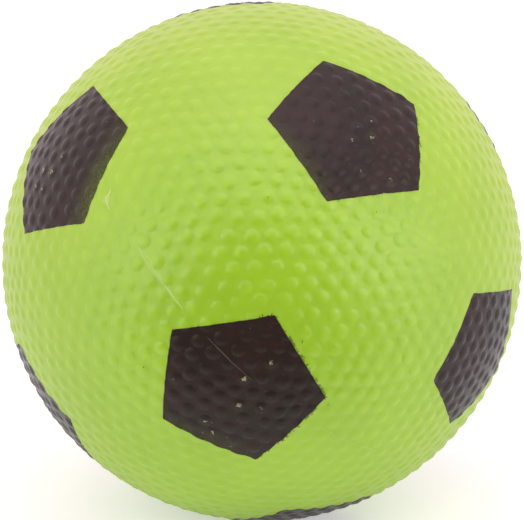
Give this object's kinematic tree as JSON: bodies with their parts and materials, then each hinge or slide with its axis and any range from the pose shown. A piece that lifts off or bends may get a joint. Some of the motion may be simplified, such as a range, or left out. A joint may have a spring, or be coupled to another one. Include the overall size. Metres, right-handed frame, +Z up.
{
  "type": "toy football",
  "caption": "Hollow inflated vinyl toy ball with a pebbled lime-green skin, black printed pentagons in the football layout and a plugged air valve.",
  "frame": {"origin": "the ball's centre", "axes": "+Z up, as the ball lies in the picture, which looks from -Y along +Y and a little down; +X is to the right"},
  "size_m": [0.1499, 0.1506, 0.1505],
  "materials": {
    "green_vinyl": "satin",
    "black_ink": "satin",
    "plug_vinyl": "satin"
  },
  "bodies": {
    "ball": {"ball_shell": "green_vinyl", "pentagon_front": "black_ink", "pentagon_upper_right": "black_ink", "pentagon_upper_left": "black_ink", "pentagon_right": "black_ink", "pentagon_valve_front": "black_ink", "pentagon_bottom": "black_ink", "pentagon_top": "black_ink", "pentagon_back_right": "black_ink", "pentagon_valve_back": "black_ink", "pentagon_back_low": "black_ink", "pentagon_back": "black_ink", "pentagon_back_left": "black_ink", "valve_seat": "green_vinyl"},
    "plug": {"valve_plug": "plug_vinyl"}
  },
  "joints": [
    {"name": "plug_pull", "type": "slide", "parent": "ball", "child": "plug", "axis": [-0.6681, 0.2498, -0.7009], "range_m": [0, 0.014]}
  ]
}
